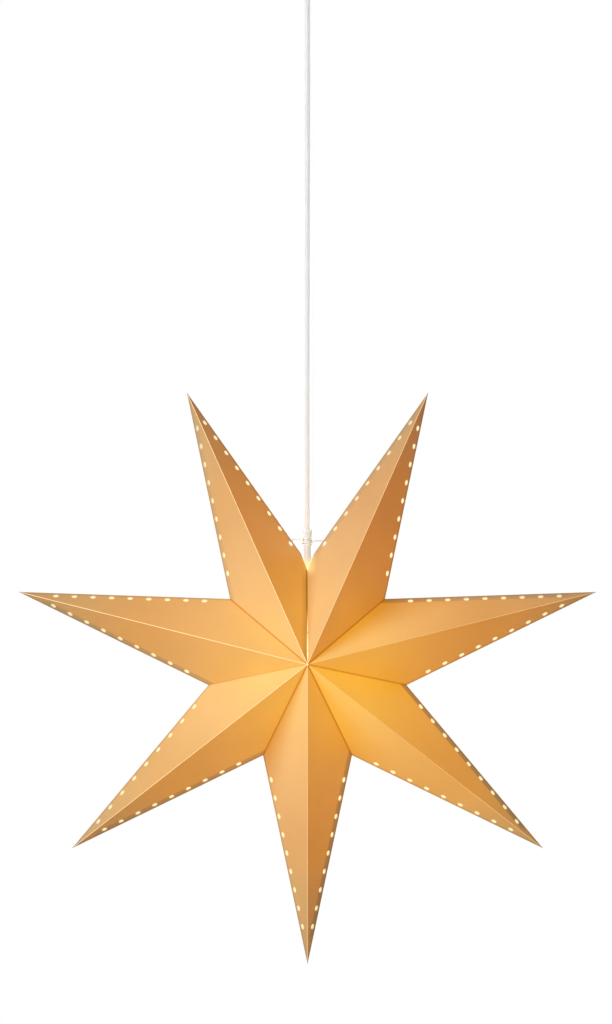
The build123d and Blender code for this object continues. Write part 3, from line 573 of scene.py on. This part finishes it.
def perforation_tree():
    """Geometry nodes that fill a flat outline with card and punch a row of holes along its edge."""
    tree = bpy.data.node_groups.new("perforated_card", "GeometryNodeTree")
    sockets = {
        "Outline": "NodeSocketGeometry",
        "Hole Diameter": "NodeSocketFloat",
        "Hole Pitch": "NodeSocketFloat",
        "Hole Count": "NodeSocketInt",
        "Hole Sides": "NodeSocketInt",
        "First Hole": "NodeSocketFloat",
        "Hook Holes": "NodeSocketInt",
        "Hook Place": "NodeSocketFloat",
        "Inset": "NodeSocketFloat",
        "Card": "NodeSocketMaterial",
    }
    for name, kind in sockets.items():
        tree.interface.new_socket(name, in_out="INPUT", socket_type=kind)
    tree.interface.new_socket("Sheet", in_out="OUTPUT", socket_type="NodeSocketGeometry")
    wire = Wire(tree)
    source = tree.nodes.new("NodeGroupInput")
    given = {name: Wire(tree, source.outputs[name]) for name in sockets}
    outline = wire.node("GeometryNodeMeshToCurve", {"Mesh": given["Outline"]})
    start = wire.node("ShaderNodeCombineXYZ", {"X": given["First Hole"], "Y": given["Inset"]})
    step = wire.node("ShaderNodeCombineXYZ", {"X": given["Hole Pitch"]})
    row = wire.node("GeometryNodeMeshLine", {"Count": given["Hole Count"], "Start Location": start,
                                             "Offset": step})
    hook_place = wire.node("ShaderNodeCombineXYZ", {"X": given["Hook Place"], "Y": given["Inset"]})
    hook = wire.node("GeometryNodePoints", {"Count": given["Hook Holes"], "Position": hook_place})
    row = wire.node("GeometryNodeJoinGeometry", {"Geometry": [row, hook]})
    punch = wire.node("GeometryNodeCurvePrimitiveCircle", {"Resolution": given["Hole Sides"],
                                                           "Radius": given["Hole Diameter"] / 2})
    holes = wire.node("GeometryNodeInstanceOnPoints", {"Points": row, "Instance": punch})
    holes = wire.node("GeometryNodeRealizeInstances", {"Geometry": holes})
    loops = wire.node("GeometryNodeJoinGeometry", {"Geometry": [outline, holes]})
    sheet = wire.node("GeometryNodeFillCurve", {"Curve": loops}, mode="TRIANGLES")
    sheet = wire.node("GeometryNodeRealizeInstances", {"Geometry": sheet})
    sheet = wire.node("GeometryNodeSetMaterial", {"Geometry": sheet, "Material": given["Card"]})
    wire.join(sheet, tree.nodes.new("NodeGroupOutput").inputs["Sheet"])
    return tree


PERFORATION = perforation_tree()


def perforated(loop, panel, count, hook_holes=0):
    """Flat card inside a loop with a row of holes along its edge, as points and triangles."""
    mesh = bpy.data.meshes.new("outline")
    links = [(n, (n + 1) % len(loop)) for n in range(len(loop))]
    mesh.from_pydata([(p.x, p.y, 0) for p in loop], links, [])
    blank = new_piece("outline", mesh)
    sizes = {
        "Hole Diameter": HOLE_D,
        "Hole Pitch": HOLE_PITCH,
        "Hole Count": count,
        "Hole Sides": HOLE_SIDES,
        "First Hole": panel.notch.x - panel.hole_end - HOLE_PITCH * (panel.holes - 1),
        "Hook Holes": hook_holes,
        "Hook Place": panel.notch.x - HOLE_END,
        "Inset": HOLE_INSET,
        "Card": GOLD,
    }
    modifier = blank.modifiers.new("perforations", "NODES")
    modifier.node_group = PERFORATION
    for socket in PERFORATION.interface.items_tree:
        if socket.name in sizes:
            modifier[socket.identifier] = sizes[socket.name]
    flat = bake(blank)
    points = [Vector((v.co.x, v.co.y)) for v in flat.vertices]
    triangles = [tuple(p.vertices) for p in flat.polygons]
    bpy.data.objects.remove(blank)
    return points, triangles


def panel_blank(panel):
    """A panel before it is folded."""
    edge, valley, ridge = panel.rows()
    loop = [*edge, *(valley if panel.seam else valley[1:]), *reversed(ridge[:-1])]
    return perforated(loop, panel, panel.holes, int(panel.seam and panel.face > 0))


def tab_blank(panel):
    """Strip glued behind a front panel along the star's edge. It ends before the hole at the notch."""
    end = panel.notch.x - TAB_END
    loop = [Vector((TAB_START, CARD)), Vector((end, CARD)), Vector((end, TAB_WIDTH)),
            Vector((TAB_START, TAB_WIDTH))]
    return perforated(loop, panel, panel.holes - 1)


class Sheet:
    """The folded sheet of one point while it is put together."""

    def __init__(self):
        self.mesh = bmesh.new()
        self.layers = {name: self.mesh.verts.layers.float.new(name) for name in CARD_MARKS}

    def add_card(self, panel, points, triangles, depth=0.0):
        """Lays flat card in a panel's place, or behind it, and returns its vertices."""
        verts = []
        for p in points:
            vert = self.mesh.verts.new(panel.place(p) + panel.inward * depth)
            vert[self.layers["edge_mm"]] = p.y * MM
            vert[self.layers["ridge_mm"]] = p.dot(panel.ridge_in) * MM
            vert[self.layers["valley_mm"]] = (p - panel.notch).dot(panel.valley_in) * MM
            vert[self.layers["tab"]] = panel.tab
            vert[self.layers["seam"]] = panel.seam_side
            inner = p.dot(panel.ridge_dir) / panel.apex.length
            vert[self.layers["wear"]] = panel.wear[0] * (1 - inner) + panel.wear[1] * inner
            vert[self.layers["shade"]] = panel.shade
            vert[self.layers["glow"]] = panel.glow
            row = (panel.notch.x - panel.hole_end - p.x) / HOLE_PITCH
            vert[self.layers["row"]] = row
            vert[self.layers["row_left"]] = panel.holes - 1 - row
            verts.append(vert)
        for triangle in triangles:
            self.mesh.faces.new([verts[n] for n in triangle])
        return verts

    def add_panel(self, panel, points, triangles):
        """Lays one perforated panel in its place and returns its three rows of vertices."""
        verts = self.add_card(panel, points, triangles)
        nearest = KDTree(len(points))
        for n, p in enumerate(points):
            nearest.insert(p.to_3d(), n)
        nearest.balance()
        return [[verts[nearest.find(p.to_3d())[1]] for p in row] for row in panel.rows()]

    def fold(self, first, second, corners, own):
        """Joins two rows by a rounded strip under the sharp line of corners."""
        rows = [first]
        for step in range(1, FOLD_STEPS):
            t = step / FOLD_STEPS
            row = []
            for a, corner, b in zip(first, corners, second):
                vert = self.mesh.verts.new(a.co * (1 - t) ** 2 + corner * 2 * t * (1 - t) + b.co * t ** 2)
                for layer in self.layers.values():
                    vert[layer] = a[layer] * (1 - t) + b[layer] * t
                vert[self.layers[own]] = 0.0
                row.append(vert)
            rows.append(row)
        rows.append(second)
        for low, high in zip(rows, rows[1:]):
            for n in range(len(low) - 1):
                self.mesh.faces.new((low[n], low[n + 1], high[n + 1], high[n]))

    def close_tip(self, tip):
        """Closes the small ring of open edges round the tip with a blunt cap."""
        ring = [e for e in self.mesh.edges if e.is_boundary
                and all((v.co - tip).length < 2 * TIP_CUT for v in e.verts)]
        caps = bmesh.ops.holes_fill(self.mesh, edges=ring)["faces"]
        top = bmesh.ops.poke(self.mesh, faces=caps)["verts"][0]
        top.co = tip + (STAR - tip).normalized() * TIP_BLUNT
        top[self.layers["valley_mm"]] = TIP_RADIUS * MM

    def finish(self, name):
        """Turns every face outwards, gives the card its thickness and bakes it."""
        for face in self.mesh.faces:
            face.normal_update()
            if face.normal.dot(face.calc_center_median() - STAR) < 0:
                face.normal_flip()
        mesh = bpy.data.meshes.new(name)
        self.mesh.to_mesh(mesh)
        self.mesh.free()
        piece = new_piece(name, mesh)
        for material in (GOLD, INSIDE):
            mesh.materials.append(material)
        wall = piece.modifiers.new("card", "SOLIDIFY")
        wall.thickness = CARD
        wall.offset = -1
        wall.material_offset = 1
        bake(piece)
        return piece


def plate(mesh, corners, thickness):
    """Adds a flat plate of card: its corners, and the vector to its other face."""
    rims = [[mesh.verts.new(c + shift) for c in corners] for shift in (Vector(), thickness)]
    faces = [mesh.faces.new(rims[0]), mesh.faces.new(rims[1])]
    count = len(corners)
    for n in range(count):
        faces.append(mesh.faces.new((rims[0][n], rims[0][(n + 1) % count],
                                     rims[1][(n + 1) % count], rims[1][n])))
    bmesh.ops.recalc_face_normals(mesh, faces=faces)
    for face in faces:
        face.material_index = 1


def glue_flap(mesh, point, side, face):
    """Flap folded in at a valley, face to face with the flap of the next point."""
    angle = valley_angle(point, side)
    out = in_star_plane(angle, 1) - STAR
    own_side = Vector((-side * math.cos(angle), 0, side * math.sin(angle)))
    depth = Vector((0, face * HALF_DEPTH, 0))
    slope = (out * NOTCH_RADIUS - depth).normalized()
    inward = Vector(-out * HALF_DEPTH - Vector((0, face * NOTCH_RADIUS, 0))).normalized()
    start = STAR + depth + inward * CARD * 2
    first = start + slope * (FLAP_INNER / slope.dot(out))
    last = start + slope * (FLAP_OUTER / slope.dot(out))
    corners = [first, last, last + inward * FLAP_WIDTH - slope * FLAP_TAPER,
               first + inward * FLAP_WIDTH + slope * FLAP_TAPER]
    plate(mesh, [c + own_side * VALLEY_GAP for c in corners], own_side * CARD)


def star_sheet(point):
    """One point of the star: four panels of one sheet, folded along two ridges and two edges."""
    sheet = Sheet()
    rows = {}
    panels = {}
    for side in (-1, 1):
        for face in (-1, 1):
            panel = panels[side, face] = Panel(point, side, face)
            rows[side, face] = sheet.add_panel(panel, *blanks[panel.seam, face])
    for side in (-1, 1):
        flat_edge = panels[side, -1].rows()[0]
        corners = [panels[side, -1].place(Vector((p.x, 0))) for p in flat_edge]
        sheet.fold(rows[side, -1][0], rows[side, 1][0], corners, "edge_mm")
    for face in (-1, 1):
        panel = panels[-1, face]
        flat_ridge = panel.rows()[2]
        corners = [panel.place(panel.ridge_dir * p.dot(panel.ridge_dir)) for p in flat_ridge]
        sheet.fold(rows[-1, face][2], rows[1, face][2], corners, "ridge_mm")
    sheet.close_tip(panels[1, 1].tip)
    front = panels[-1, -1]
    sheet.add_card(front, *tabs[front.seam], depth=CARD * TAB_CLEAR)
    piece = sheet.finish(f"star_sheet_{point + 1}")
    whole = bmesh.new()
    whole.from_mesh(piece.data)
    for side in (-1, 1):
        for face in (-1, 1):
            if not on_seam(point, side):
                glue_flap(whole, point, side, face)
    whole.to_mesh(piece.data)
    whole.free()
    return piece


blanks = {}
tabs = {}
for point, seam in ((0, True), (1, False)):
    for face in (-1, 1):
        blanks[seam, face] = panel_blank(Panel(point, -1, face))
    tabs[seam] = tab_blank(Panel(point, -1, -1))
for point in range(POINTS):
    piece = star_sheet(point)
    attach(piece, "lamp")
    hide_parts(f"star_point_{point + 1}")


# Cord

def hanging_cord():
    """Taut cord from the bell of the ceiling cup down into the neck, its upper end rounded."""
    radius = CORD_D / 2
    # Heights of its control points, and the share of its radius there
    route = [
        (CORD_HIGH, 0.3),
        (CORD_HIGH - CORD_SHOULDER, 0.8),
        (CORD_HIGH - radius, 1.0),
        (CORD_HIGH - CORD_LEAD, 1.0),
        ((CORD_HIGH + CORD_LOW) / 2, 1.0),
        (CORD_LOW + CORD_LEAD, 1.0),
        (CORD_LOW, 1.0),
    ]
    curve = bpy.data.curves.new("hanging_cord_sheath", "CURVE")
    curve.dimensions = "3D"
    curve.bevel_depth = radius
    curve.bevel_resolution = 8
    curve.use_fill_caps = True
    spline = curve.splines.new("NURBS")
    spline.points.add(len(route) - 1)
    for control, (height, share) in zip(spline.points, route):
        control.co = (0, 0, height, 1)
        control.radius = share
    spline.order_u = 3
    spline.use_endpoint_u = True
    curve.materials.append(FINISHES["cord_sheath"])
    return new_piece("hanging_cord_sheath", curve)


cord = hanging_cord()
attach(cord, "cord_line")
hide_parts("hanging_cord")


# Stage

def seen_rays(wire):
    """1 where the camera sees a surface, or sees it in metal or through glass."""
    path = wire.tree.nodes.new("ShaderNodeLightPath")
    camera, glossy, through = (Wire(wire.tree, path.outputs[name])
                               for name in ("Is Camera Ray", "Is Glossy Ray", "Is Transmission Ray"))
    return wire.maths("MAXIMUM", wire.maths("MAXIMUM", camera, glossy), through)


def pale_floor():
    """Pale round floor well below the star. It fades to white at its rim and is clear from below."""
    bpy.ops.mesh.primitive_circle_add(vertices=FLOOR_SIDES, radius=FLOOR_RADIUS, fill_type="NGON",
                                      location=(0, 0, FLOOR_Z))
    floor = bpy.context.object
    floor.name = "floor"
    material, shader, wire, place = new_finish("pale_floor", Roughness=0.9)
    wire.join(wire.mix(wire.noise(place, 3.0), rgb(0.47, 0.47, 0.465), rgb(0.50, 0.50, 0.495)),
              shader.inputs["Base Color"])
    out = wire.node("ShaderNodeVectorMath", {0: place}, output="Value", operation="LENGTH")
    share = FLOOR_WHITE + (1 - FLOOR_WHITE) * out.fade(*FLOOR_FADE)
    painted = Wire(wire.tree, shader.outputs[0])
    white = wire.node("ShaderNodeEmission", {"Color": rgb(1, 1, 1), "Strength": 1.0})
    pale = wire.node("ShaderNodeMixShader", {0: share * seen_rays(wire), 1: painted, 2: white})
    below = wire.node("ShaderNodeNewGeometry", output="Backfacing")
    clear = wire.node("ShaderNodeBsdfTransparent")
    one_sided = wire.node("ShaderNodeMixShader", {0: below, 1: pale, 2: clear})
    wire.join(one_sided, material.node_tree.nodes["Material Output"].inputs["Surface"])
    floor.data.materials.append(material)


def white_world(level):
    """Soft even light, and plain white where the camera looks past the object."""
    world = bpy.data.worlds.new("white_room")
    bpy.context.scene.world = world
    world.use_nodes = True
    wire = Wire(world.node_tree)
    background = world.node_tree.nodes["Background"]
    wire.join(level + (1 - level) * seen_rays(wire), background.inputs["Strength"])
    background.inputs["Color"].default_value = rgb(1, 1, 1)


def soft_lamp(name, offset, width, power):
    """Round lamp that faces the star."""
    light = bpy.data.lights.new(name, "AREA")
    light.shape = "DISK"
    light.size = width
    light.energy = power
    lamp = new_piece(name, light)
    lamp.location = STAR + Vector(offset)
    lamp.rotation_euler = (-Vector(offset)).to_track_quat("-Z", "Y").to_euler()


def photo_camera():
    """Camera at the photograph's place and angle."""
    camera = bpy.data.cameras.new("camera")
    camera.sensor_fit = "VERTICAL"
    camera.sensor_height = SENSOR
    camera.sensor_width = SENSOR
    camera.lens = FOCAL_PIXELS * SENSOR / PHOTO_HEIGHT
    camera.clip_end = CAMERA_REACH
    eye = new_piece("camera", camera)
    eye.location = STAR + Vector((CAMERA_X, -CAMERA_BACK, CAMERA_ABOVE))
    eye.rotation_euler = Euler((CAMERA_PITCH, 0, 0))
    bpy.context.scene.camera = eye


pale_floor()
white_world(ROOM_LIGHT)
for lamp in LAMPS:
    soft_lamp(*lamp)
photo_camera()
bpy.context.scene.view_settings.view_transform = "Standard"
